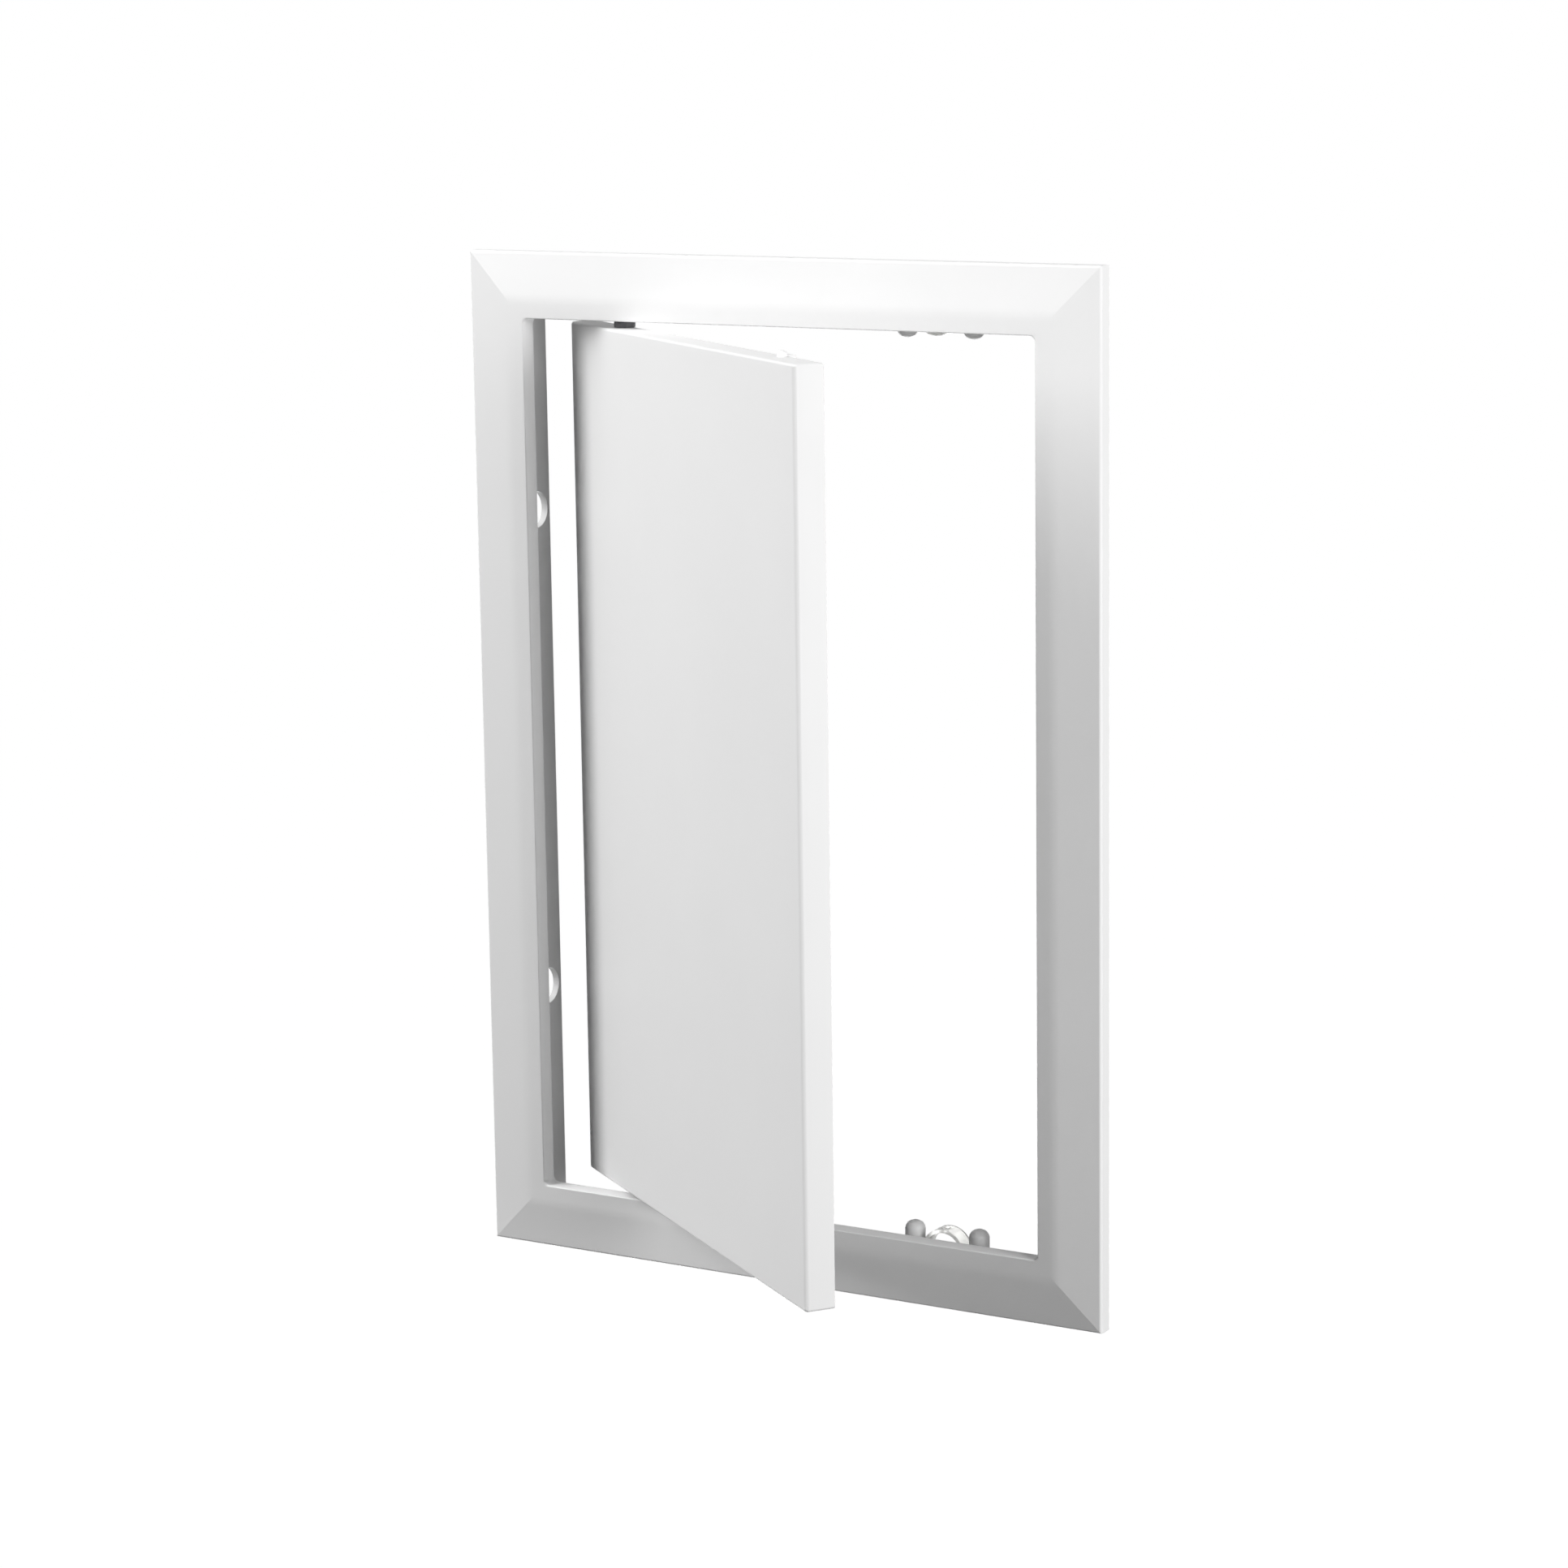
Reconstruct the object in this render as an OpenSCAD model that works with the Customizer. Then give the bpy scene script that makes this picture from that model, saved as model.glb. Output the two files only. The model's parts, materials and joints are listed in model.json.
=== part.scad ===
// Hinged access panel: a bevelled frame with a sleeve, and a flush door on two pivot pins.
// The origin is the centre of the wall opening, in the plane of the wall face.
// X runs across, Y points into the wall, Z runs up along the long side.

/* [Wall opening] */
// Width of the cut-out in the wall
cutout_w = 200; // [150:1:400]
// Height of the cut-out in the wall
cutout_h = 300; // [200:1:600]
// Gap between the sleeve and the cut-out on each side
cutout_play = 2; // [1:0.5:4]

/* [Sleeve] */
// Wall of the sleeve
sleeve_t = 2.2; // [1.6:0.1:3]
// Depth of the sleeve behind the wall face
sleeve_d = 17; // [15:0.5:40]
// Inner corner radius of the sleeve
sleeve_in_r = 1; // [0.5:0.1:3]
// Room between the sleeve and the lip, which holds the hinge blocks
channel = 5.3; // [4.6:0.1:8]
// Diameter of the fixing holes in the side walls
fix_d = 11.5; // [5:0.5:12]
// Distance of the fixing holes from the ends of the sleeve
fix_end = 71; // [40:1:80]
// Distance of the fixing holes from the back edge of the sleeve
fix_back = 7.4; // [6.8:0.1:8.5]

/* [Frame] */
// How far the flange reaches past the sleeve
flange_over = 11; // [8:0.5:20]
// Height of the flange in front of the wall
flange_t = 7; // [6:0.5:9]
// Height of the flange at its outer edge
edge_t = 5; // [3.5:0.5:6]
// Wall of the outer edge
edge_wall = 2; // [1.5:0.1:3]
// Width of the flat strip between the bevel and the opening
strip_w = 5.9; // [4:0.1:9]
// Wall of the flange front
skin_t = 2.2; // [1.6:0.1:2.8]
// Depth of the lip that turns back around the opening
lip_d = 6; // [4:0.5:7]
// Wall of the lip
lip_t = 2; // [1.5:0.1:3]
// Corner radius of the clear opening
lip_r = 2; // [1:0.5:6]

/* [Door] */
// Angle that the door stands open at
door_open = 36; // [0:1:150]
// Gap between the door and the lip at the sides
door_gap_x = 1; // [0.6:0.1:2]
// Gap between the door and the lip at the top and bottom
door_gap_z = 2.2; // [1.4:0.1:3]
// Depth of the rim around the door
rim_d = 9.4; // [8:0.1:11]
// Wall of the rim
rim_t = 2.2; // [1.6:0.1:3]
// Wall of the door front
front_t = 2.4; // [1.8:0.1:3]
// Radius of the hinge edge of the door
hinge_edge_r = 5; // [2:0.5:6]
// Chamfer of the free edge of the door
free_edge_c = 0.8; // [0.4:0.1:1.5]
// Wall of the stiffening ribs
rib_t = 1.6; // [1.2:0.1:2.4]
// Height of the stiffening ribs
rib_h = 4; // [2:0.5:5]

/* [Hinge] */
// Distance of the pivot from the hinge edge of the door
pivot_in = 32; // [26:0.5:40]
// Distance of the pivot behind the door front
pivot_back = 6.8; // [6:0.1:7.5]
// Diameter of the pivot pins
pin_d = 3; // [2:0.1:3.6]
// Running clearance around the pins in the hinge blocks
pin_play = 0.05; // [0.02:0.01:0.1]
// Diameter of the pin bosses inside the door
boss_d = 8; // [6:0.5:9]
// Length of the pin bosses
boss_l = 12; // [8:0.5:20]
// Diameter of the spacer collars
collar_d = 6.6; // [5:0.1:8]
// Width of the hinge blocks
block_w = 12; // [10:0.5:16]
// Diameter of the block screws
screw_d = 2.5; // [2:0.1:3]

/* [Catch] */
// Distance of the middle of the catch from the free edge of the door
catch_in = 36.5; // [25:0.5:45]
// Diameter of the studs
stud_d = 6.4; // [6:0.1:9]
// Gap between a stud and the spring bow
stud_gap = 0.7; // [0.1:0.1:3]
// How far the studs overlap the rim of the closed door
stud_over = 0.6; // [0.4:0.1:2]
// Outer radius of the spring bow
bow_r = 7.2; // [5:0.1:8.5]
// Thickness of the spring bow
bow_t = 1.2; // [0.8:0.1:1.6]
// Width of the spring bow
bow_w = 6; // [5:0.5:7]
// Width of the catch tongue on the door
tongue_w = 6; // [4:0.5:9]
// Distance of the snap bump from the free edge of the door
snap_in = 23.5; // [15:0.5:26]
// Radius of the snap bump
snap_r = 1.4; // [1:0.1:2]

/* [Hidden] */
$fn = 64;

// Clearances
eps = 0.1;
rub_gap = 0.4;
stop_gap = 0.3;
seat_gap = 0.1;
shank_play = 0.05;
press_play = 0.02;

// Half sizes, from the wall opening inwards
sleeve_w = cutout_w / 2 - cutout_play;
sleeve_h = cutout_h / 2 - cutout_play;
sleeve_in_w = sleeve_w - sleeve_t;
sleeve_in_h = sleeve_h - sleeve_t;
half_w = sleeve_w + flange_over;
half_h = sleeve_h + flange_over;
open_w = sleeve_in_w - channel - lip_t;
open_h = sleeve_in_h - channel - lip_t;
flange_w = half_w - open_w;
bevel_w = flange_w - strip_w;
lip_y = lip_d - flange_t;
fix_y = sleeve_d - fix_back;
fix_z = sleeve_h - fix_end;

// The sleeve grows out of the middle of the flange front
bevel_rise = flange_t - edge_t;
sleeve_root = skin_t / 2 - edge_t - bevel_rise * min(1, flange_over / bevel_w);

// The door, closed, lies flush with the flange
leaf_w = open_w - door_gap_x;
leaf_h = open_h - door_gap_z;
leaf_back = rim_d - flange_t;
pivot_x = pivot_in - leaf_w;
pivot_y = pivot_back - flange_t;
collar_h = door_gap_z - rub_gap;

// The hinge blocks sit in the channel between the lip and the sleeve
block_lo = open_h + lip_t + seat_gap;
block_front = skin_t - flange_t + rub_gap;
block_flat = 1.4;
block_mid = block_front + block_flat + block_w / 2;
screw_off = 5.4;
screw_y = pivot_y + screw_off;
screw_tip_in = 0.8;
screw_tip = block_lo + screw_tip_in;
screw_r = screw_d / 2;
screw_head_over = 1.35;
screw_head_r = screw_r + screw_head_over;
screw_head_h = 1.5;
screw_slot_w = 0.7;
screw_slot_l = 3.2;
pin_tip = 1.4;
pin_head_over = 1.1;
pin_head_r = pin_d / 2 + pin_head_over;
pin_head_h = 1.4;
pin_notch_gap = 0.7;
pin_notch_r = pin_d / 2 + pin_notch_gap;

// The studs stand just behind the closed door and stop it
catch_x = leaf_w - catch_in;
stud_y = leaf_back + stop_gap + stud_d / 2;
stud_end = leaf_h - stud_over;
stud_pitch = stud_d + 2 * (bow_r + stud_gap);
stud_tip_in = 1.7;
stud_tip_r = stud_d / 2 - stud_tip_in;
stud_tip_h = 0.6;
stud_neck_in = 0.6;
stud_neck_r = stud_d / 2 - stud_neck_in;
stud_neck_h = 1.2;
stud_shank_r = 2;
stud_flare_r = 3;
stud_flare_h = 1.2;

// The tongue passes under the crest of the spring bow
tongue_in = 0.6;
tongue_top = leaf_h - tongue_in;
tongue_t = 1.8;
tongue_end = stud_y + bow_w / 2;
pip_r = 0.8;
pip_h = 0.5;
bow_crest = tongue_top + pip_h + rub_gap;
bow_axis = bow_crest + bow_r;
bow_hole_r = pip_r + seat_gap;
foot_over = 5.4;
foot_l = stud_pitch / 2 + foot_over;
snap_x = leaf_w - snap_in;
snap_off = 0.2;
snap_y = pivot_y + snap_off;
snap_h = door_gap_z - rub_gap;

plastic = [0.93, 0.93, 0.92];
stud_grey = [0.76, 0.76, 0.76];
spring_white = [0.96, 0.96, 0.95];
steel = [0.72, 0.73, 0.75];
dark_grey = [0.22, 0.22, 0.23];

// Upright box with round corners, from one depth to another
module round_box(w, h, r, y0, y1) {
    translate([-w, y0, r - h])
        cube([2 * w, y1 - y0, 2 * (h - r)]);
    translate([r - w, y0, -h])
        cube([2 * (w - r), y1 - y0, 2 * h]);
    for (x = [r - w, w - r])
        for (z = [r - h, h - r])
            translate([x, y0, z])
                rotate([-90, 0, 0])
                    cylinder(r = r, h = y1 - y0);
}

// Bevelled plate: two prisms that cross, so the corners are mitred
module bevel_plate(w, h, edge_y, crest_w, crest_y, back_y) {
    across = [[-w, back_y], [-w, edge_y], [crest_w - w, crest_y],
        [w - crest_w, crest_y], [w, edge_y], [w, back_y]];
    up = [[-h, back_y], [-h, edge_y], [crest_w - h, crest_y],
        [h - crest_w, crest_y], [h, edge_y], [h, back_y]];
    intersection() {
        translate([0, 0, -h])
            linear_extrude(height = 2 * h)
                polygon(across);
        rotate([0, -90, 0])
            translate([0, 0, -w])
                linear_extrude(height = 2 * w)
                    polygon(up);
    }
}

// Upright cylinder between two heights
module post(x, y, r, z0, z1) {
    translate([x, y, z0])
        cylinder(r = r, h = z1 - z0);
}

// Makes the upper and the lower copy of a piece
module both_ends() {
    children();
    mirror([0, 0, 1])
        children();
}

// Turns a piece of the door from closed to its open place
module swung() {
    translate([pivot_x, pivot_y, 0])
        rotate([0, 0, -door_open])
            translate([-pivot_x, -pivot_y, 0])
                children();
}

module frame_shell() {
    difference() {
        bevel_plate(half_w, half_h, -edge_t, bevel_w, -flange_t, 0);
        bevel_plate(half_w - edge_wall, half_h - edge_wall, skin_t - edge_t,
            bevel_w - edge_wall, skin_t - flange_t, eps);
    }
    round_box(open_w + lip_t, open_h + lip_t, lip_r + lip_t, skin_t / 2 - flange_t, lip_y);
    difference() {
        round_box(sleeve_w, sleeve_h, sleeve_in_r + sleeve_t, sleeve_root, sleeve_d);
        round_box(sleeve_in_w, sleeve_in_h, sleeve_in_r, -flange_t, sleeve_d + eps);
    }
}

module frame() {
    color(plastic)
        difference() {
            frame_shell();
            round_box(open_w, open_h, lip_r, -flange_t - eps, lip_y + eps);
            for (z = [-fix_z, fix_z])
                translate([-half_w, fix_y, z])
                    rotate([0, 90, 0])
                        cylinder(d = fix_d, h = 2 * half_w);
            both_ends() {
                post(pivot_x, pivot_y, pin_notch_r, open_h - eps, open_h + lip_t + eps);
                post(pivot_x, screw_y, screw_r + shank_play, sleeve_in_h - eps, sleeve_h + eps);
                for (s = [-1, 1])
                    post(catch_x + s * stud_pitch / 2, stud_y, stud_shank_r + shank_play,
                        sleeve_in_h - eps, sleeve_h + eps);
            }
        }
}

// Outside of the door: a flat tray with one round edge at the hinge side
module leaf_body() {
    intersection() {
        translate([-leaf_w, -flange_t, -leaf_h])
            cube([2 * leaf_w, rim_d, 2 * leaf_h]);
        union() {
            translate([hinge_edge_r - leaf_w, -flange_t, -leaf_h])
                cube([2 * leaf_w, rim_d, 2 * leaf_h]);
            translate([-leaf_w, hinge_edge_r - flange_t, -leaf_h])
                cube([2 * hinge_edge_r, rim_d, 2 * leaf_h]);
            post(hinge_edge_r - leaf_w, hinge_edge_r - flange_t, hinge_edge_r, -leaf_h, leaf_h);
        }
    }
}

// Ribs behind the door front
module leaf_ribs() {
    rib_y = front_t - flange_t - eps;
    for (x = [-leaf_w / 6, leaf_w / 2])
        translate([x - rib_t / 2, rib_y, rim_t / 2 - leaf_h])
            cube([rib_t, rib_h + eps, 2 * leaf_h - rim_t]);
    for (z = [-leaf_h / 2, 0, leaf_h / 2])
        translate([rim_t / 2 - leaf_w, rib_y, z - rib_t / 2])
            cube([2 * leaf_w - rim_t, rib_h + eps, rib_t]);
}

// Boss for a pivot pin, with a web that ties it to the door front
module pin_boss() {
    post(pivot_x, pivot_y, boss_d / 2, leaf_h - boss_l, leaf_h);
    translate([pivot_x - rib_t / 2, front_t - flange_t - eps, leaf_h - boss_l])
        cube([rib_t, pivot_back - front_t + eps, boss_l]);
}

// Catch tongue behind the rim, and the snap bump on the edge of the door
module catch_tongue() {
    translate([catch_x - tongue_w / 2, leaf_back - rim_t, tongue_top - tongue_t])
        cube([tongue_w, tongue_end - leaf_back + rim_t, tongue_t]);
    post(catch_x, stud_y, pip_r, tongue_top - eps, tongue_top + pip_h);
    post(snap_x, snap_y, snap_r, leaf_h - eps, leaf_h + snap_h - snap_r / 2);
    translate([snap_x, snap_y, leaf_h + snap_h - snap_r / 2])
        cylinder(r1 = snap_r, r2 = snap_r / 2, h = snap_r / 2);
}

module door_leaf() {
    color(plastic)
        swung()
            difference() {
                union() {
                    difference() {
                        leaf_body();
                        translate([rim_t - leaf_w, front_t - flange_t, rim_t - leaf_h])
                            cube([2 * (leaf_w - rim_t), rim_d, 2 * (leaf_h - rim_t)]);
                    }
                    leaf_ribs();
                    both_ends() {
                        pin_boss();
                        catch_tongue();
                    }
                }
                both_ends()
                    post(pivot_x, pivot_y, pin_d / 2 + press_play, leaf_h - boss_l - eps, leaf_h + eps);
                translate([leaf_w, -flange_t, 0])
                    rotate([0, 0, 45])
                        cube([free_edge_c * sqrt(2), free_edge_c * sqrt(2), 3 * leaf_h], center = true);
            }
}

module hinge_block() {
    color(plastic)
        difference() {
            union() {
                translate([pivot_x - block_w / 2, block_front, block_lo])
                    cube([block_w, block_mid - block_front, sleeve_in_h - block_lo]);
                post(pivot_x, block_mid, block_w / 2, block_lo, sleeve_in_h);
            }
            post(pivot_x, pivot_y, pin_d / 2 + pin_play, block_lo - eps, sleeve_in_h + eps);
            post(pivot_x, screw_y, screw_r + shank_play, block_lo - eps, sleeve_in_h + eps);
        }
}

module hinge_block_top() {
    hinge_block();
}

module hinge_block_bottom() {
    mirror([0, 0, 1])
        hinge_block();
}

module block_screw() {
    difference() {
        post(pivot_x, screw_y, screw_head_r, sleeve_h, sleeve_h + screw_head_h);
        for (a = [0, 90])
            translate([pivot_x, screw_y, sleeve_h + screw_head_h])
                rotate([0, 0, a])
                    cube([screw_slot_l, screw_slot_w, screw_head_h], center = true);
    }
    post(pivot_x, screw_y, screw_r, screw_tip, sleeve_h + eps);
}

module hinge_block_screws() {
    color(steel)
        both_ends()
            block_screw();
}

module hinge_pin() {
    color(steel)
        swung() {
            post(pivot_x, pivot_y, pin_d / 2, leaf_h - boss_l - eps, sleeve_in_h - pin_tip);
            post(pivot_x, pivot_y, pin_head_r, leaf_h - boss_l - pin_head_h, leaf_h - boss_l);
        }
}

module hinge_pin_top() {
    hinge_pin();
}

module hinge_pin_bottom() {
    mirror([0, 0, 1])
        hinge_pin();
}

module hinge_collar() {
    color(dark_grey)
        difference() {
            post(pivot_x, pivot_y, collar_d / 2, leaf_h, leaf_h + collar_h);
            post(pivot_x, pivot_y, pin_d / 2 + pin_play, leaf_h - eps, leaf_h + collar_h + eps);
        }
}

module hinge_collar_top() {
    hinge_collar();
}

module hinge_collar_bottom() {
    mirror([0, 0, 1])
        hinge_collar();
}

// Stud with a domed end, riveted over outside the sleeve
module catch_stud(x) {
    seat = sleeve_in_h - bow_t;
    post(x, stud_y, stud_flare_r, sleeve_h, sleeve_h + stud_flare_h);
    post(x, stud_y, stud_shank_r, seat - eps, sleeve_h + eps);
    post(x, stud_y, stud_d / 2, stud_end + stud_tip_h + stud_neck_h, seat);
    translate([x, stud_y, stud_end + stud_tip_h])
        cylinder(r1 = stud_neck_r, r2 = stud_d / 2, h = stud_neck_h);
    translate([x, stud_y, stud_end])
        cylinder(r1 = stud_tip_r, r2 = stud_neck_r, h = stud_tip_h);
}

module catch_studs() {
    color(stud_grey)
        both_ends()
            for (s = [-1, 1])
                catch_stud(catch_x + s * stud_pitch / 2);
}

// Spring bow: a half ring on two legs, with feet that the studs hold down
module catch_bow() {
    foot_z = sleeve_in_h - bow_t;
    inner_r = bow_r - bow_t;
    color(spring_white)
        translate([catch_x, stud_y - bow_w / 2, 0])
            difference() {
                union() {
                    translate([0, 0, bow_axis])
                        rotate([-90, 0, 0])
                            cylinder(r = bow_r, h = bow_w);
                    translate([-bow_r, 0, bow_axis])
                        cube([2 * bow_r, bow_w, sleeve_in_h - bow_axis]);
                    translate([-foot_l, 0, foot_z])
                        cube([2 * foot_l, bow_w, bow_t]);
                }
                translate([0, -eps, bow_axis])
                    rotate([-90, 0, 0])
                        cylinder(r = inner_r, h = bow_w + 2 * eps);
                translate([-inner_r, -eps, bow_axis])
                    cube([2 * inner_r, bow_w + 2 * eps, 2 * bow_r]);
                translate([-bow_r - eps, -eps, sleeve_in_h])
                    cube([2 * bow_r + 2 * eps, bow_w + 2 * eps, 2 * bow_r]);
                for (s = [-1, 1])
                    post(s * stud_pitch / 2, bow_w / 2, stud_shank_r + shank_play,
                        foot_z - eps, sleeve_in_h + eps);
                post(0, bow_w / 2, bow_hole_r, bow_crest - eps, bow_crest + bow_t + eps);
            }
}

module catch_bow_top() {
    catch_bow();
}

module catch_bow_bottom() {
    mirror([0, 0, 1])
        catch_bow();
}

frame();
door_leaf();
hinge_block_top();
hinge_block_bottom();
hinge_block_screws();
hinge_pin_top();
hinge_pin_bottom();
hinge_collar_top();
hinge_collar_bottom();
catch_studs();
catch_bow_top();
catch_bow_bottom();
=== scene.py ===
import json
import math

import bmesh
import bpy
from mathutils import Matrix, Vector

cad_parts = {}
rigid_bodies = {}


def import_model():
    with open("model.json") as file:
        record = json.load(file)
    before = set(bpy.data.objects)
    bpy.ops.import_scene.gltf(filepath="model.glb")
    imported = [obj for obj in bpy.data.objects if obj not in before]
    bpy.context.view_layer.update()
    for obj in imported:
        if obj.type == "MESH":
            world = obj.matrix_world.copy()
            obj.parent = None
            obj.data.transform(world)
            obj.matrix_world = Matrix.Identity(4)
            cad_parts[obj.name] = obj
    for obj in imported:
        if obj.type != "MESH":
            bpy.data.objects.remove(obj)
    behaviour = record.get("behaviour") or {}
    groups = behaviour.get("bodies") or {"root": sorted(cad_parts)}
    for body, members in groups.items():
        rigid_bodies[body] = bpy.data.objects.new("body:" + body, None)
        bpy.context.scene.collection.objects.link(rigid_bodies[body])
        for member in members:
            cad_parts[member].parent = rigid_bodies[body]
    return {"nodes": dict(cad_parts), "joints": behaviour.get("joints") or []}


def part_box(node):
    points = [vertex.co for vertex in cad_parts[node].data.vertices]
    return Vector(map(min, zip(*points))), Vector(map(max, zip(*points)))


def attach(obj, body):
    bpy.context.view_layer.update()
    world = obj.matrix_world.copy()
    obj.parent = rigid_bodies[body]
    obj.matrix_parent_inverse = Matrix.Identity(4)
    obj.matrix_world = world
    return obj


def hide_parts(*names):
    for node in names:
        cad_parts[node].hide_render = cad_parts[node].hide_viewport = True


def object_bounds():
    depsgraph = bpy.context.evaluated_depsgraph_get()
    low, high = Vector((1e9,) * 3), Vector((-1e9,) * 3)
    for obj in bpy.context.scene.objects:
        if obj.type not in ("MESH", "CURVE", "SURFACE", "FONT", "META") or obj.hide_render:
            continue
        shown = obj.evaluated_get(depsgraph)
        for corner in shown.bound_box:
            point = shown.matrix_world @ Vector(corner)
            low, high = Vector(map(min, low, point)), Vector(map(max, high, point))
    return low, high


for leftOver in list(bpy.data.objects):  # the start-up file's own cube, lamp and camera
    bpy.data.objects.remove(leftOver)

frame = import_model()
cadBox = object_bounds()
mm = 0.001
hinge = frame["joints"][0]
pivot = Vector(hinge["pos_m"])
pivotX, pivotY = pivot.x / mm, pivot.y / mm
openAngle = -math.radians(hinge["range_deg"][0])  # how far the door stands open at rest
print("frame loaded:", len(frame["nodes"]), "nodes")


# small tools for working in edit mode, with lengths in millimetres

squarely = 0.9  # a face points along an axis if its normal reaches this far
sharpAngle = math.radians(50)  # an edge that turns more than this is sharp
flatAngle = math.radians(3)  # an edge that turns less than this is no edge to the eye
straightAngle = math.radians(179)  # two edges that meet at more than this are one line
tight = 0.02  # slack of a test for one place
loose = 0.1  # slack of a test for one side
drillOver = 1.0  # how far a drill runs past what it cuts
shading = {"smoothAngle": 35, "mergeGap": 0.002, "flatWeight": 90}


def clearSelection():
    if bpy.context.object and bpy.context.object.mode == "EDIT":
        bpy.ops.object.mode_set(mode="OBJECT")
    bpy.ops.object.select_all(action="DESELECT")


def workOn(piece):
    clearSelection()
    piece.select_set(True)
    bpy.context.view_layer.objects.active = piece


def settle(name):
    piece = bpy.context.object
    piece.name = name
    piece.data.name = name
    bpy.ops.object.transform_apply(location=True, rotation=True, scale=True)
    return piece


def startBox(name, low, high):
    clearSelection()
    low, high = Vector(low) * mm, Vector(high) * mm
    bpy.ops.mesh.primitive_cube_add(size=1, location=(low + high) / 2)
    bpy.context.object.scale = high - low
    return settle(name)


def startRod(name, radius, low, high, turn=(0, 0, 0), sides=48):
    clearSelection()
    low, high = Vector(low) * mm, Vector(high) * mm
    bpy.ops.mesh.primitive_cylinder_add(vertices=sides, radius=radius * mm, depth=(high - low).length,
                                        location=(low + high) / 2, rotation=turn)
    return settle(name)


def uprightRod(name, radius, x, y, foot, tip, sides=48):
    return startRod(name, radius, (x, y, foot), (x, y, tip), sides=sides)


def pickFaces(piece, test):
    bm = bmesh.from_edit_mesh(piece.data)
    bpy.ops.mesh.select_mode(type="FACE")
    bpy.ops.mesh.select_all(action="DESELECT")
    for face in bm.faces:
        face.select_set(test(face.calc_center_median() / mm, face.normal))
    bm.select_flush_mode()
    bmesh.update_edit_mesh(piece.data)


def pickEdges(piece, test):
    bpy.ops.mesh.select_mode(type="EDGE")
    bpy.ops.mesh.select_all(action="DESELECT")
    bm = bmesh.from_edit_mesh(piece.data)
    for edge in bm.edges:
        if test(edge.verts[0].co / mm, edge.verts[1].co / mm, edge):
            edge.select_set(True)
    bmesh.update_edit_mesh(piece.data)


def near(a, b):
    return abs(a - b) < tight


def facingTo(x=0, y=0, z=0):
    return lambda at, facing: facing.dot(Vector((x, y, z))) > squarely


def edgesAt(**place):
    def test(a, b, edge):
        return all(near(getattr(p, axis), value) for p in (a, b) for axis, value in place.items())
    return test


def openEdges(a, b, edge):
    return edge.is_boundary


def sharpEdges(a, b, edge):
    return edge.calc_face_angle(0) > sharpAngle


def inset(width, push=0.0):
    bpy.ops.mesh.inset(thickness=width * mm, depth=0, use_even_offset=True)
    if push:
        bpy.ops.transform.translate(value=(0, push * mm, 0))


def pull(distance, axis="y"):
    step = [distance * mm if axis == letter else 0.0 for letter in "xyz"]
    bpy.ops.mesh.extrude_region_move(TRANSFORM_OT_translate={"value": step})


def spread(factor, centre):
    bpy.ops.transform.resize(value=(factor, factor, 1), center_override=Vector(centre) * mm)


def roundEdges(radius, steps):
    bpy.ops.mesh.bevel(offset=radius * mm, segments=steps, profile=0.5, affect="EDGES")


def combine(piece, others, operation):
    for other in others:
        workOn(piece)
        step = piece.modifiers.new("step", "BOOLEAN")
        step.operation = operation
        step.solver = "EXACT"
        step.object = other
        bpy.ops.object.modifier_apply(modifier=step.name)
        bpy.data.objects.remove(other)


def dropSparePoints(piece):
    # points that joining leaves on a straight edge between two faces
    bpy.ops.mesh.select_mode(type="VERT")
    bpy.ops.mesh.select_all(action="DESELECT")
    bm = bmesh.from_edit_mesh(piece.data)
    for point in bm.verts:
        if len(point.link_edges) == 2:
            ends = [edge.other_vert(point).co - point.co for edge in point.link_edges]
            point.select_set(ends[0].angle(ends[1]) > straightAngle)
    bmesh.update_edit_mesh(piece.data)
    if any(point.select for point in bm.verts):
        bpy.ops.mesh.dissolve_verts()


def finishSurface(piece, look):
    workOn(piece)
    bpy.ops.object.mode_set(mode="EDIT")
    bpy.ops.mesh.select_all(action="SELECT")
    bpy.ops.mesh.remove_doubles(threshold=look["mergeGap"] * mm)
    dropSparePoints(piece)
    bpy.ops.mesh.select_all(action="SELECT")
    bpy.ops.mesh.normals_make_consistent(inside=False)
    bpy.ops.object.mode_set(mode="OBJECT")
    bpy.ops.object.shade_smooth_by_angle(angle=math.radians(look["smoothAngle"]), keep_sharp_edges=True)
    weigh = piece.modifiers.new("even_shading", "WEIGHTED_NORMAL")
    weigh.keep_sharp = True
    weigh.weight = look["flatWeight"]
    bpy.ops.object.modifier_apply(modifier=weigh.name)


# materials

def linear(hexText):
    out = []
    for at in (0, 2, 4):
        value = int(hexText[at:at + 2], 16) / 255
        out.append(value / 12.92 if value <= 0.04045 else ((value + 0.055) / 1.055) ** 2.4)
    return (*out, 1.0)


def addNode(material, kind, settings=None, links=None):
    tree = material.node_tree
    node = tree.nodes.new(kind)
    for name, value in (settings or {}).items():
        if name in node.inputs:
            node.inputs[name].default_value = value
        else:
            setattr(node, name, value)
    for name, source in (links or {}).items():
        tree.links.new(source, node.inputs[name])
    return node


def emptyMaterial(name):
    material = bpy.data.materials.new(name)
    material.use_nodes = True
    material.node_tree.nodes.clear()
    return material


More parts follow.
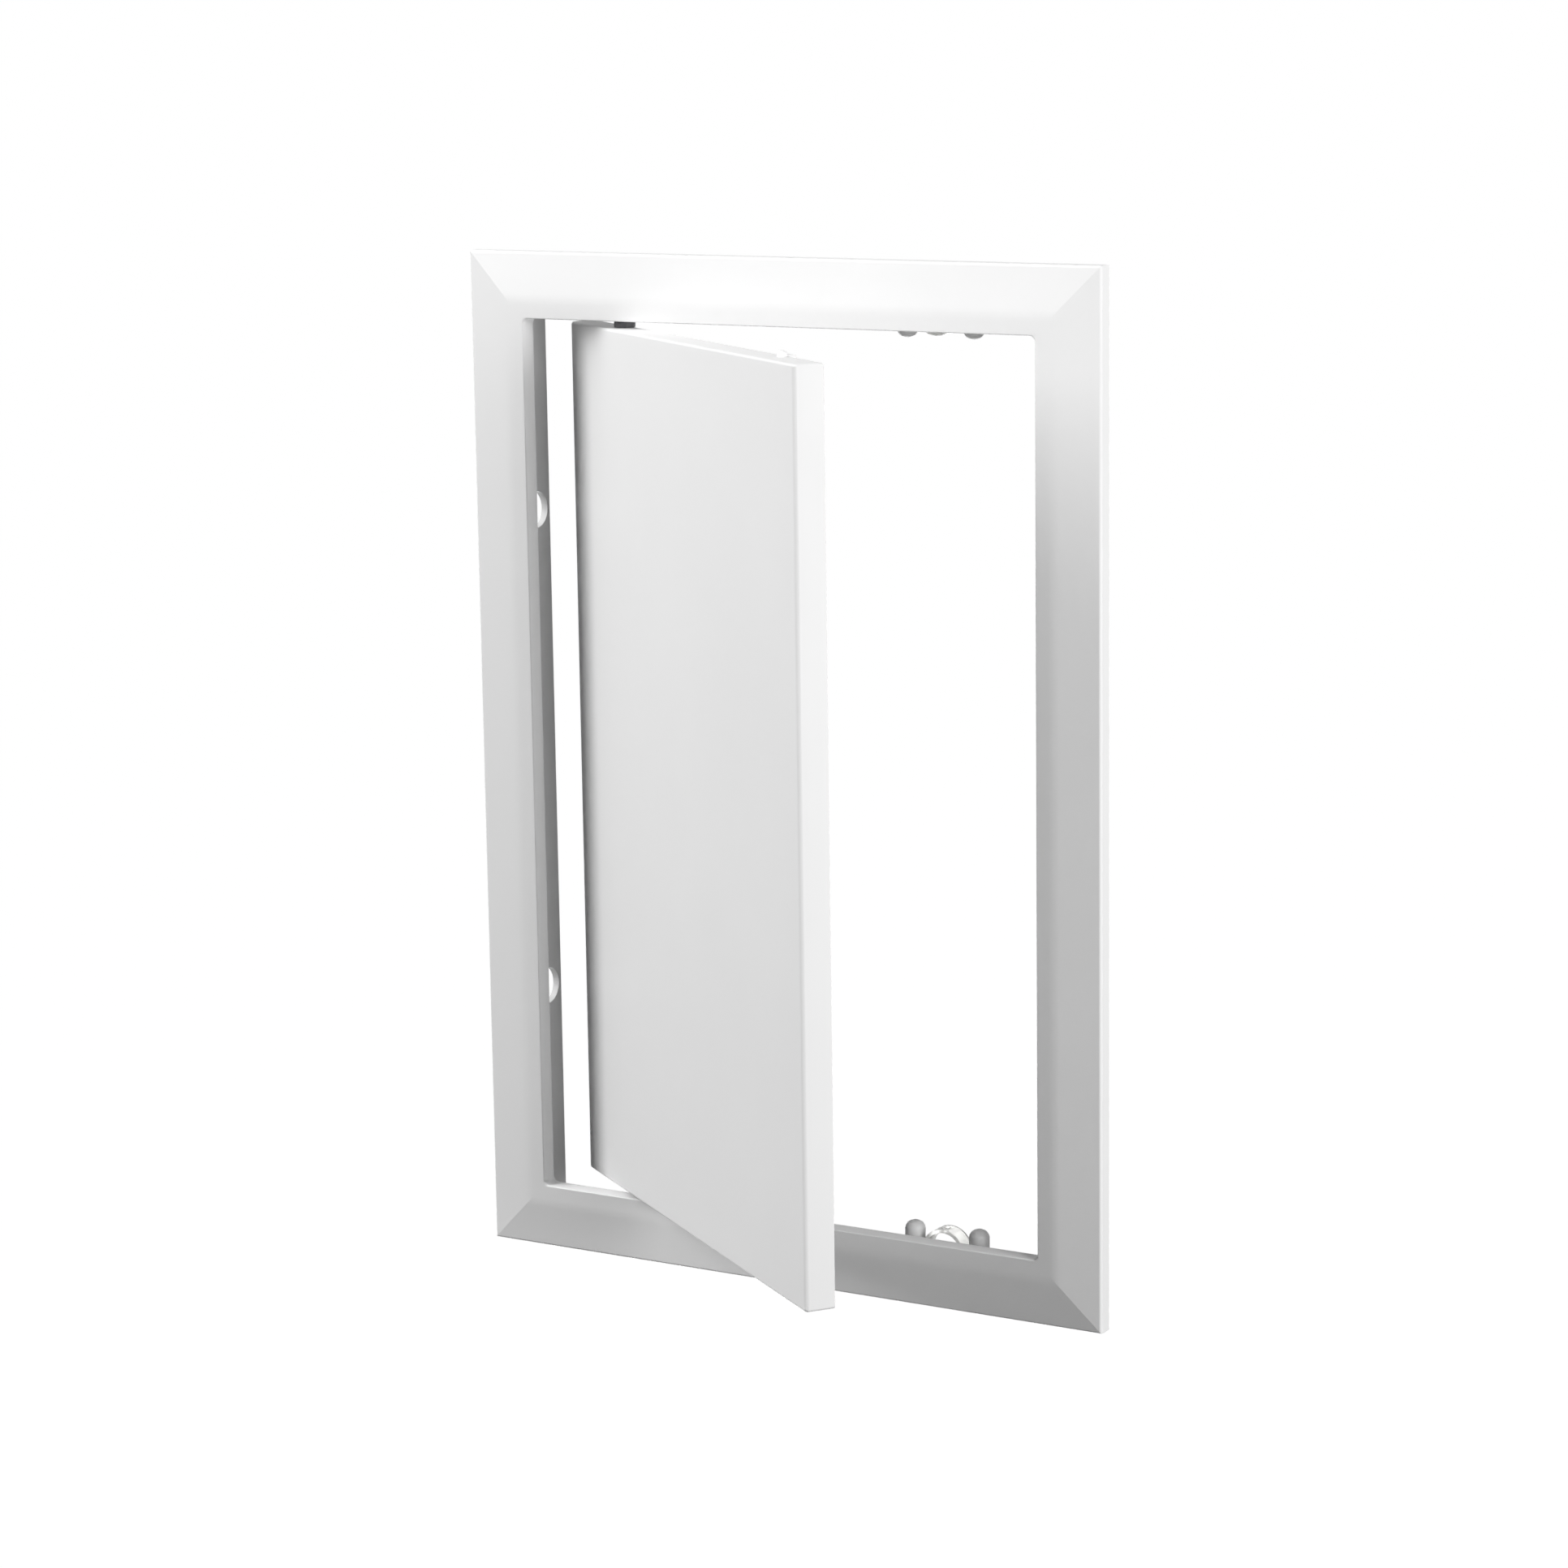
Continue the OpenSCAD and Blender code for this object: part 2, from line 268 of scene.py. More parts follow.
def mouldedPlastic(name, look):
    # satin moulded plastic: even colour, a soft gloss that wanders a little, a fine spark texture
    material = emptyMaterial(name)
    place = addNode(material, "ShaderNodeTexCoord").outputs["Object"]
    cloud = addNode(material, "ShaderNodeTexNoise",
                    {"Scale": 1 / (look["cloudMm"] * mm), "Detail": 3.0, "Roughness": 0.5},
                    {"Vector": place})
    tint = addNode(material, "ShaderNodeMix", {"data_type": "RGBA"}, {"Factor": cloud.outputs["Fac"]})
    tint.inputs["A"].default_value = linear(look["paleHex"])
    tint.inputs["B"].default_value = linear(look["deepHex"])
    smooth, rough = look["rough"]
    gloss = addNode(material, "ShaderNodeMapRange",
                    {"From Min": 0.3, "From Max": 0.7, "To Min": smooth, "To Max": rough},
                    {"Value": cloud.outputs["Fac"]})
    spark = addNode(material, "ShaderNodeTexNoise",
                    {"Scale": 1 / (look["grainMm"] * mm), "Detail": 2.0, "Roughness": 0.6},
                    {"Vector": place})
    bump = addNode(material, "ShaderNodeBump",
                   {"Strength": look["grainStrength"], "Distance": look["grainDeepMm"] * mm},
                   {"Height": spark.outputs["Fac"]})
    shader = addNode(material, "ShaderNodeBsdfPrincipled",
                     {"IOR": look["ior"], "Specular IOR Level": 0.35, "Transmission Weight": look["clear"]},
                     {"Base Color": tint.outputs["Result"], "Roughness": gloss.outputs["Result"],
                      "Normal": bump.outputs["Normal"]})
    addNode(material, "ShaderNodeOutputMaterial", links={"Surface": shader.outputs["BSDF"]})
    return material


def platedSteel(name, look):
    # zinc plated steel: a grey metal with fine turning marks and uneven gloss
    material = emptyMaterial(name)
    place = addNode(material, "ShaderNodeTexCoord").outputs["Object"]
    stretch = addNode(material, "ShaderNodeMapping", {"Scale": (1, 1, look["markStretch"])},
                      {"Vector": place})
    marks = addNode(material, "ShaderNodeTexNoise",
                    {"Scale": 1 / (look["markMm"] * mm), "Detail": 3.0},
                    {"Vector": stretch.outputs["Vector"]})
    smooth, rough = look["rough"]
    gloss = addNode(material, "ShaderNodeMapRange", {"To Min": smooth, "To Max": rough},
                    {"Value": marks.outputs["Fac"]})
    tint = addNode(material, "ShaderNodeMix", {"data_type": "RGBA"}, {"Factor": marks.outputs["Fac"]})
    tint.inputs["A"].default_value = linear(look["paleHex"])
    tint.inputs["B"].default_value = linear(look["deepHex"])
    bump = addNode(material, "ShaderNodeBump", {"Strength": 0.2, "Distance": look["markDeepMm"] * mm},
                   {"Height": marks.outputs["Fac"]})
    shader = addNode(material, "ShaderNodeBsdfPrincipled", {"Metallic": 1.0},
                     {"Base Color": tint.outputs["Result"], "Roughness": gloss.outputs["Result"],
                      "Normal": bump.outputs["Normal"]})
    addNode(material, "ShaderNodeOutputMaterial", links={"Surface": shader.outputs["BSDF"]})
    return material


# grain is drawn coarser than the real spark, and clear is how much light a plastic lets in
plasticLooks = {
    "whiteAbs": {"paleHex": "ECECEC", "deepHex": "E8E8E8", "cloudMm": 45, "rough": (0.48, 0.56),
                 "ior": 1.53, "grainMm": 1.1, "grainStrength": 0.12, "grainDeepMm": 0.02, "clear": 0.0},
    "studNylon": {"paleHex": "E2E2E2", "deepHex": "D8D8D8", "cloudMm": 6, "rough": (0.4, 0.55),
                  "ior": 1.53, "grainMm": 0.5, "grainStrength": 0.25, "grainDeepMm": 0.03,
                  "clear": 0.15},  # milky
    "bowAcetal": {"paleHex": "F8F8F6", "deepHex": "F2F2EF", "cloudMm": 8, "rough": (0.35, 0.45),
                  "ior": 1.48, "grainMm": 0.6, "grainStrength": 0.15, "grainDeepMm": 0.02,
                  "clear": 0.52},  # uncoloured
    # the collar's dark grey paints the shade that falls in the gap between the door's top and the frame's lip
    "collarPaintedShade": {"paleHex": "565658", "deepHex": "4C4C4E", "cloudMm": 4, "rough": (0.4, 0.55),
                    "ior": 1.53, "grainMm": 0.5, "grainStrength": 0.25, "grainDeepMm": 0.03, "clear": 0.0},
}
steelLook = {"paleHex": "C4C6CA", "deepHex": "A9ACB1", "rough": (0.25, 0.42),
             "markMm": 0.5, "markStretch": 6, "markDeepMm": 0.01}
finishes = {name: mouldedPlastic(name, look) for name, look in plasticLooks.items()}
finishes["zincSteel"] = platedSteel("zincSteel", steelLook)


def handOver(piece, finish, body, node):
    finishSurface(piece, shading)
    piece.data.materials.clear()
    piece.data.materials.append(finishes[finish])
    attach(piece, body)
    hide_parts(node)


# frame: one moulding, drawn out of a flat box by insets and pulls
# in each piece's dictionary, a rounding is a radius and a number of steps

frameCut = {
    "edge": 5.0, "rise": 2.0, "strip": 5.9, "edgeWall": 2.0, "skin": 2.2,
    "flangeOver": 11.0, "sleeveWall": 2.2, "channel": 5.3, "lip": 2.0, "lipBack": -1.0,
    "sleeveRound": (3.2, 6), "sleeveInRound": (1.0, 4), "lipOutRound": (4.0, 6), "lipRound": (2.0, 5),
    "edgeRound": (0.7, 3), "crestRound": (1.5, 5), "lipEdgeRound": (0.6, 3), "rimRound": (0.4, 2),
    "lipReach": 2.1, "sleeveReach": 3.5, "lipOutReach": 4.5,  # how far in an edge's rounded corners come
    "capReach": 9.0, "cornerLong": 1.0,  # what tells the caps and the corner edges from the rest
    "fixRadius": 5.75, "fixY": 9.6, "fixZ": 77.0, "fixDrill": 16.0, "notchRadius": 2.2,
    "studHole": 2.05, "studX": (39.9, 62.1), "studY": 5.9, "screwHole": 1.3, "screwBack": 5.4,
    "wallDrill": 4.0,
}


def makeFrame(cut):
    low, high = (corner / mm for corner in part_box("frame"))
    halfW, halfH, front, sleeveBack = high.x, high.z, low.y, high.y
    bevel = cut["flangeOver"] + cut["sleeveWall"] + cut["channel"] + cut["lip"] - cut["strip"]
    slope = cut["rise"] / bevel
    piece = startBox("frame_moulding", (-halfW, -cut["edge"], -halfH), (halfW, 0, halfH))
    bpy.ops.object.mode_set(mode="EDIT")
    pickFaces(piece, facingTo(y=-1))
    inset(bevel, -cut["rise"])
    inset(cut["strip"])
    pickFaces(piece, facingTo(y=1))
    inset(cut["edgeWall"])
    hollow = cut["skin"] - cut["edge"] - slope * cut["edgeWall"]
    pull(hollow)
    toSleeve = cut["flangeOver"] - cut["edgeWall"]
    inset(toSleeve, -slope * toSleeve)
    root = hollow - slope * toSleeve
    pull(sleeveBack - root)
    inset(cut["sleeveWall"])
    channelFloor = front + cut["skin"]
    pull(channelFloor - sleeveBack)
    inset(cut["channel"])
    pull(cut["lipBack"] - channelFloor)
    inset(cut["lip"])
    pickFaces(piece, lambda at, facing: abs(facing.y) > squarely and at.length < cut["capReach"])
    bpy.ops.mesh.delete(type="FACE")  # the two caps of the opening
    pickEdges(piece, openEdges)
    bpy.ops.mesh.bridge_edge_loops()
    bpy.ops.mesh.select_all(action="SELECT")
    bpy.ops.mesh.normals_make_consistent(inside=False)

    openW, openH = halfW - bevel - cut["strip"], halfH - bevel - cut["strip"]
    lipW, lipH = openW + cut["lip"], openH + cut["lip"]
    sleeveW, sleeveH = halfW - cut["flangeOver"], halfH - cut["flangeOver"]
    corners = (
        (sleeveW, sleeveH, cut["sleeveRound"]),
        (lipW + cut["channel"], lipH + cut["channel"], cut["sleeveInRound"]),
        (lipW, lipH, cut["lipOutRound"]),
        (openW, openH, cut["lipRound"]),
    )

    def cornerAt(x, z):
        def test(a, b, edge):
            inCorner = all(near(abs(p.x), x) and near(abs(p.z), z) for p in (a, b))
            return inCorner and abs(a.y - b.y) > cut["cornerLong"]
        return test

    for x, z, rounding in corners:  # the edges that run into the wall, at each nest of corners
        pickEdges(piece, cornerAt(x, z))
        roundEdges(*rounding)

    def ringAt(y, x, z, reach=0.0):
        def onRing(p):
            return (x - reach - loose < abs(p.x) < x + loose
                    or z - reach - loose < abs(p.z) < z + loose)

        def test(a, b, edge):
            level = near(a.y, y) and near(b.y, y) and edge.calc_face_angle(0) >= flatAngle
            return level and onRing(a) and onRing(b)
        return test

    rings = (
        (ringAt(front, halfW - bevel, halfH - bevel), cut["crestRound"]),
        (ringAt(front, openW, openH, cut["lipReach"]), cut["lipEdgeRound"]),
        (ringAt(-cut["edge"], halfW, halfH), cut["edgeRound"]),
        (ringAt(sleeveBack, sleeveW, sleeveH, cut["sleeveReach"]), cut["rimRound"]),
        (ringAt(cut["lipBack"], lipW, lipH, cut["lipOutReach"]), cut["rimRound"]),
    )
    for ring, rounding in rings:
        pickEdges(piece, ring)
        roundEdges(*rounding)
    bpy.ops.object.mode_set(mode="OBJECT")

    drills = []
    for z in (-cut["fixZ"], cut["fixZ"]):
        for side in (-1, 1):
            drills.append(startRod("fixing_drill", cut["fixRadius"],
                                   (side * (halfW - cut["fixDrill"]), cut["fixY"], z),
                                   (side * halfW, cut["fixY"], z), turn=(0, math.pi / 2, 0)))
    wallIn = sleeveH - cut["sleeveWall"]
    for end in (-1, 1):
        drills.append(uprightRod("notch_drill", cut["notchRadius"], pivotX, pivotY,
                                 end * (openH - drillOver), end * (lipH + drillOver)))
        inside, outside = end * (wallIn - drillOver), end * (wallIn + cut["wallDrill"])
        drills.append(uprightRod("screw_drill", cut["screwHole"], pivotX, pivotY + cut["screwBack"],
                                 inside, outside))
        for x in cut["studX"]:
            drills.append(uprightRod("stud_drill", cut["studHole"], x, cut["studY"], inside, outside))
    combine(piece, drills, "DIFFERENCE")

    def mitre(a, b, edge):
        inPlane = all(near(abs(p.x) - abs(p.z), halfW - halfH) for p in (a, b))
        return inPlane and max(a.y, b.y) < loose and min(abs(a.x), abs(b.x)) > openW

    workOn(piece)
    bpy.ops.object.mode_set(mode="EDIT")
    pickEdges(piece, mitre)
    bpy.ops.mesh.mark_sharp()  # the corners of the bevel stay crisp
    bpy.ops.object.mode_set(mode="OBJECT")
    handOver(piece, "whiteAbs", "frame", "frame")


makeFrame(frameCut)
print("frame moulding made")


# door: a tray with a rim, ribs, pin bosses and catch tongues, made closed and then swung open

doorCut = {
    "halfW": 87.5, "halfH": 136.3, "front": -7.0, "back": 2.4, "rim": 2.2, "skin": 2.4,
    "hingeRound": (5.0, 10), "freeRound": (1.2, 3), "edgeRound": (0.8, 4), "rimRound": (0.35, 2),
    "ribWall": 1.6, "ribTall": 4.0, "ribRoot": 1.0, "ribX": (-14.583, 43.75), "ribZ": (-68.15, 0.0, 68.15),
    "bossRadius": 4.0, "bossLong": 12.0, "boreRadius": 1.52,
    "bossShy": 0.7, "webShy": 1.0,  # how far short of the door's end they stop
    "tongueX": 51.0, "tongueWide": 6.0, "tongueTop": 135.7, "tongueThick": 1.8, "tongueEnd": 8.9,
    "tongueRound": (0.4, 3),
    "pipRadius": 0.8, "pipTall": 0.5, "pipRoot": 0.3, "pipY": 5.9, "pipRound": (0.35, 4),
    "snapRadius": 1.4, "snapTall": 1.8, "snapRoot": 0.8, "snapX": 64.0, "snapY": 0.0, "snapRound": (0.9, 4),
    "knobSides": 32,
}


def swingOpen(piece):
    workOn(piece)
    turn = Matrix.Rotation(openAngle, 4, Vector(hinge["axis"]))
    aboutPivot = Matrix.Translation(pivot) @ turn @ Matrix.Translation(-pivot)
    piece.matrix_world = aboutPivot @ piece.matrix_world
    bpy.ops.object.transform_apply(location=True, rotation=True, scale=True)


def roundedKnob(name, radius, x, y, root, tip, rounding, sides):
    knob = uprightRod(name, radius, x, y, root, tip, sides)
    bpy.ops.object.mode_set(mode="EDIT")
    pickEdges(knob, edgesAt(z=tip))
    roundEdges(*rounding)
    bpy.ops.object.mode_set(mode="OBJECT")
    return knob


def makeTongue(cut, end):
    half = cut["tongueWide"] / 2
    low, high = sorted((end * cut["tongueTop"], end * (cut["tongueTop"] - cut["tongueThick"])))
    tongue = startBox("catch_tongue", (cut["tongueX"] - half, cut["back"] - cut["rim"], low),
                      (cut["tongueX"] + half, cut["tongueEnd"], high))
    bpy.ops.object.mode_set(mode="EDIT")
    pickEdges(tongue, lambda a, b, edge: near(a.y, cut["tongueEnd"]) or near(b.y, cut["tongueEnd"]))
    roundEdges(*cut["tongueRound"])
    bpy.ops.object.mode_set(mode="OBJECT")
    return tongue


def makeDoor(cut):
    w, h, front, back = cut["halfW"], cut["halfH"], cut["front"], cut["back"]
    floor = front + cut["skin"]
    piece = startBox("door_moulding", (-w, front, -h), (w, back, h))
    bpy.ops.object.mode_set(mode="EDIT")
    pickFaces(piece, facingTo(y=1))
    inset(cut["rim"])
    pull(floor - back)

    def endEdges(a, b, edge):
        atEnd = near(abs(a.z), h) and near(abs(b.z), h) and a.z * b.z > 0
        return atEnd and sharpEdges(a, b, edge) and min(a.y, b.y) < back - loose

    def rimEdges(a, b, edge):
        return near(a.y, back) and near(b.y, back) and sharpEdges(a, b, edge)

    roundings = (
        (edgesAt(x=-w, y=front), cut["hingeRound"]),
        (edgesAt(x=w, y=front), cut["freeRound"]),
        (endEdges, cut["edgeRound"]),
        (rimEdges, cut["rimRound"]),
    )
    for edges, rounding in roundings:
        pickEdges(piece, edges)
        roundEdges(*rounding)
    bpy.ops.object.mode_set(mode="OBJECT")

    added = []
    half = cut["ribWall"] / 2
    root, top = floor - cut["ribRoot"], floor + cut["ribTall"]
    inW, inH = w - cut["rim"] / 2, h - cut["rim"] / 2
    for x in cut["ribX"]:
        added.append(startBox("rib_upright", (x - half, root, -inH), (x + half, top, inH)))
    for z in cut["ribZ"]:
        added.append(startBox("rib_across", (-inW, root, z - half), (inW, top, z + half)))
    foot = h - cut["bossLong"]
    for end in (-1, 1):
        added.append(uprightRod("pin_boss", cut["bossRadius"], pivotX, pivotY,
                                end * foot, end * (h - cut["bossShy"])))
        webLow, webHigh = sorted((end * foot, end * (h - cut["webShy"])))
        added.append(startBox("pin_web", (pivotX - half, root, webLow), (pivotX + half, pivotY, webHigh)))
        added.append(makeTongue(cut, end))
        added.append(roundedKnob("pip", cut["pipRadius"], cut["tongueX"], cut["pipY"],
                                 end * (cut["tongueTop"] - cut["pipRoot"]),
                                 end * (cut["tongueTop"] + cut["pipTall"]),
                                 cut["pipRound"], cut["knobSides"]))
        added.append(roundedKnob("snap_bump", cut["snapRadius"], cut["snapX"], cut["snapY"],
                                 end * (h - cut["snapRoot"]), end * (h + cut["snapTall"]),
                                 cut["snapRound"], cut["knobSides"]))
    combine(piece, added, "UNION")
    bores = [uprightRod("pin_drill", cut["boreRadius"], pivotX, pivotY,
                        end * (foot - drillOver), end * (h + drillOver)) for end in (-1, 1)]
    combine(piece, bores, "DIFFERENCE")
    swingOpen(piece)
    handOver(piece, "whiteAbs", "door", "door_leaf")


makeDoor(doorCut)
print("door moulding made")


# hardware: each piece is modelled once at the top, then copied

def copyOf(piece, name, shift=0.0, flip=False):
    twin = piece.copy()
    twin.data = piece.data.copy()
    twin.name = name
    twin.data.name = name
    bpy.context.scene.collection.objects.link(twin)
    workOn(twin)
    twin.location.x = shift * mm
    if flip:
        twin.scale.z = -1
    bpy.ops.object.transform_apply(location=True, rotation=True, scale=True)
    return twin


def joined(pieces):
    clearSelection()
    for piece in pieces:
        piece.select_set(True)
    bpy.context.view_layer.objects.active = pieces[0]
    bpy.ops.object.join()
    return pieces[0]


def nodeBox(name):
    low, high = (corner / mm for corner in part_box(name))
    return low, high, (low + high) / 2, (high - low) / 2


studCut = {"shank": 2.0, "flare": 3.0, "flareTall": 1.2, "seat": 3.4, "end": 135.7, "round": (0.4, 3),
           "dome": ((0.8, 2.95), (0.8, 2.4), (0.5, 1.6), (0.3, 0.8))}  # height of a step, radius at its end


def makeStuds(cut):
    low, high, middle, half = nodeBox("catch_studs")
    radius, y, x = half.y, middle.y, low.x + half.y
    wall = high.z - cut["flareTall"]
    seat = wall - cut["seat"]
    foot = cut["end"] + sum(step for step, size in cut["dome"])
    stud = uprightRod("catch_stud_set", radius, x, y, foot, seat)
    bpy.ops.object.mode_set(mode="EDIT")
    pickFaces(stud, facingTo(z=1))
    inset(radius - cut["shank"])
    pull(wall - seat, "z")
    pull(0, "z")
    spread(cut["flare"] / cut["shank"], (x, y, wall))
    pull(cut["flareTall"], "z")
    pickFaces(stud, lambda at, facing: facing.z < -squarely and at.z < foot + loose)
    for step, size in cut["dome"]:
        pull(-step, "z")
        spread(size / radius, (x, y, foot))
        radius = size
    pickEdges(stud, edgesAt(z=high.z))
    roundEdges(*cut["round"])
    bpy.ops.object.mode_set(mode="OBJECT")
    other = copyOf(stud, "stud_other", 2 * (half.x - half.y))
    lower = [copyOf(each, "stud_lower", flip=True) for each in (stud, other)]
    handOver(joined([stud, other] + lower), "studNylon", "frame", "catch_studs")


bowCut = {"thick": 1.2, "radius": 7.2, "archSteps": 24, "hole": 0.9, "studHole": 2.05, "studFromEnd": 5.4,
          "footDrill": 3.0, "round": (0.25, 2)}


def makeBows(cut):
    low, high, middle, half = nodeBox("catch_bow_top")
    radius, thick = cut["radius"], cut["thick"]
    axis = low.z + radius
    bow = startBox("catch_bow_upper", (middle.x - radius, low.y, axis),
                   (middle.x - radius + thick, high.y, high.z))
    bpy.ops.object.mode_set(mode="EDIT")
    pickFaces(bow, facingTo(z=-1))
    bpy.ops.mesh.spin(steps=cut["archSteps"], angle=math.pi, center=(middle.x * mm, 0, axis * mm),
                      axis=(0, 1, 0))
    pull(high.z - axis, "z")
    bpy.ops.mesh.select_all(action="SELECT")
    bpy.ops.mesh.bisect(plane_co=(0, 0, (high.z - thick) * mm), plane_no=(0, 0, 1))
    for side in (-1, 1):  # the feet
        pickFaces(bow, lambda at, facing: facing.x * side > squarely and at.z > high.z - thick
                  and near(at.x, middle.x + side * radius))
        pull(side * (half.x - radius), "x")
    pickEdges(bow, sharpEdges)
    roundEdges(*cut["round"])
    bpy.ops.object.mode_set(mode="OBJECT")
    drills = [uprightRod("crest_drill", cut["hole"], middle.x, middle.y, low.z - drillOver, axis)]
    for x in (low.x + cut["studFromEnd"], high.x - cut["studFromEnd"]):
        drills.append(uprightRod("foot_drill", cut["studHole"], x, middle.y,
                                 high.z - cut["footDrill"], high.z + drillOver))
    combine(bow, drills, "DIFFERENCE")
    lower = copyOf(bow, "catch_bow_lower", flip=True)
    handOver(bow, "bowAcetal", "frame", "catch_bow_top")
    handOver(lower, "bowAcetal", "frame", "catch_bow_bottom")


blockCut = {"backFlat": 0.05, "backSteps": 10, "round": (0.5, 3), "pinBore": 1.55, "screwBore": 1.3,
            "screwBack": 5.4}


def makeBlocks(cut):
    low, high, middle, half = nodeBox("hinge_block_top")
    block = startBox("hinge_block_upper", low, high)
    bpy.ops.object.mode_set(mode="EDIT")
    pickEdges(block, lambda a, b, edge: near(a.y, high.y) and near(b.y, high.y) and near(a.x, b.x))
    roundEdges(half.x - cut["backFlat"], cut["backSteps"])  # the back becomes half round
    pickEdges(block, sharpEdges)
    roundEdges(*cut["round"])
    bpy.ops.object.mode_set(mode="OBJECT")
    bores = ((cut["pinBore"], pivotY), (cut["screwBore"], pivotY + cut["screwBack"]))
    drills = [uprightRod("bore", size, middle.x, at, low.z - drillOver, high.z + drillOver)
              for size, at in bores]
    combine(block, drills, "DIFFERENCE")
    lower = copyOf(block, "hinge_block_lower", flip=True)
    handOver(block, "whiteAbs", "frame", "hinge_block_top")
    handOver(lower, "whiteAbs", "frame", "hinge_block_bottom")


screwCut = {"headTall": 1.5, "shank": 1.25, "long": 8.1, "point": 1.0, "pointShrink": 0.3,
            "slotWide": 0.7, "slotLong": 3.2, "slotDeep": 0.75, "round": (0.6, 4)}


def makeScrews(cut):
    low, high, middle, half = nodeBox("hinge_block_screws")
    x, y = middle.x, middle.y
    seat = high.z - cut["headTall"]
    screw = uprightRod("block_screw_pair", half.x, x, y, seat, high.z)
    bpy.ops.object.mode_set(mode="EDIT")
    pickFaces(screw, facingTo(z=-1))
    inset(half.x - cut["shank"])
    tip = high.z - cut["long"]
    pull(tip + cut["point"] - seat, "z")
    pull(-cut["point"], "z")
    spread(cut["pointShrink"], (x, y, tip))
    pickEdges(screw, edgesAt(z=high.z))
    roundEdges(*cut["round"])
    bpy.ops.object.mode_set(mode="OBJECT")
    wide, long = cut["slotWide"] / 2, cut["slotLong"] / 2
    floor = high.z - cut["slotDeep"]
    slots = [startBox("slot", (x - a, y - b, floor), (x + a, y + b, high.z + drillOver))
             for a, b in ((wide, long), (long, wide))]
    combine(screw, slots, "DIFFERENCE")
    pair = joined([screw, copyOf(screw, "screw_lower", flip=True)])
    handOver(pair, "zincSteel", "frame", "hinge_block_screws")


pinCut = {"radius": 1.5, "headTall": 1.4, "round": (0.35, 3)}


def makePins(cut):
    low, high, middle, half = nodeBox("hinge_pin_top")
    neck = low.z + cut["headTall"]
    pin = uprightRod("pivot_pin_upper", half.x, middle.x, middle.y, low.z, neck)
    bpy.ops.object.mode_set(mode="EDIT")
    pickFaces(pin, facingTo(z=1))
    inset(half.x - cut["radius"])
    pull(high.z - neck, "z")
    pickEdges(pin, lambda a, b, edge: near(a.z, b.z) and (near(a.z, low.z) or near(a.z, high.z)))
    roundEdges(*cut["round"])
    bpy.ops.object.mode_set(mode="OBJECT")
    lower = copyOf(pin, "pivot_pin_lower", flip=True)
    handOver(pin, "zincSteel", "door", "hinge_pin_top")
    handOver(lower, "zincSteel", "door", "hinge_pin_bottom")


collarCut = {"bore": 1.55, "rimBand": 0.2, "round": (0.3, 3)}


def makeCollars(cut):
    low, high, middle, half = nodeBox("hinge_collar_top")
    collar = uprightRod("spacer_collar_upper", half.x, middle.x, middle.y, low.z, high.z)
    bpy.ops.object.mode_set(mode="EDIT")
    pickFaces(collar, lambda at, facing: abs(facing.z) > squarely)
    inset(half.x - cut["bore"])
    bpy.ops.mesh.delete(type="FACE")
    pickEdges(collar, openEdges)
    bpy.ops.mesh.bridge_edge_loops()

    def outerRims(a, b, edge):
        outside = all((p.xy - middle.xy).length > half.x - cut["rimBand"] for p in (a, b))
        return outside and near(a.z, b.z)

    pickEdges(collar, outerRims)
    roundEdges(*cut["round"])
    bpy.ops.object.mode_set(mode="OBJECT")
    lower = copyOf(collar, "spacer_collar_lower", flip=True)
    # the collars wear a dark grey that paints the shade in the gap at the pivot
    handOver(collar, "collarPaintedShade", "door", "hinge_collar_top")
    handOver(lower, "collarPaintedShade", "door", "hinge_collar_bottom")


makeStuds(studCut)
makeBows(bowCut)
makeBlocks(blockCut)
makeScrews(screwCut)
makePins(pinCut)
makeCollars(collarCut)
print("hardware made")


# camera, from the perspective fitted to the photograph
view = {"azimuth": 30.46, "elevation": 10.72, "roll": -0.81, "away": 1316.2, "across": 2.36, "up": -0.28,
        "aim": (0.0, -7.0, 0.0), "focalPixels": 5330.0, "imagePixels": 1932.0, "sensor": 36.0}


def makeCamera(v):
    a, e, r = (math.radians(v[key]) for key in ("azimuth", "elevation", "roll"))
    ahead = Vector((-math.sin(a) * math.cos(e), math.cos(a) * math.cos(e), -math.sin(e)))
    right = Vector((math.cos(a), math.sin(a), 0))
    up = right.cross(ahead)
    place = (Vector(v["aim"]) + right * v["across"] + up * v["up"] - ahead * v["away"]) * mm
    rolledRight = right * math.cos(r) + up * math.sin(r)
    rolledUp = up * math.cos(r) - right * math.sin(r)
    data = bpy.data.cameras.new("camera")
    data.sensor_width = v["sensor"]
    data.lens = v["focalPixels"] / v["imagePixels"] * v["sensor"]
    camera = bpy.data.objects.new("camera", data)
    bpy.context.scene.collection.objects.link(camera)
    turn = Matrix((rolledRight, rolledUp, -ahead)).transposed().to_4x4()
    camera.matrix_world = Matrix.Translation(place) @ turn
    bpy.context.scene.camera = camera


makeCamera(view)
print("camera placed")


# studio: a white surround for the camera, soft lamps, a pale floor well below
lamps = {
    "keyLamp": {"place": (-1000, -900, 700), "aim": (0, 0, 0), "size": 900, "watts": 18.2},
    "topLamp": {"place": (-700, -300, 1200), "aim": (0, 0, 0), "size": 900, "watts": 10.6},
    "sideLamp": {"place": (1300, -450, 300), "aim": (60, 0, 0), "size": 800, "watts": 21.0},
    "backLamp": {"place": (-710, 1210, -700), "aim": (0, 0, 0), "size": 900, "watts": 13.0},  # for the back
}
surround = {"white": (1, 1, 1, 1), "floorHex": "B4B4B4", "floorDrop": 2.0, "floorSize": 60.0}  # in metres


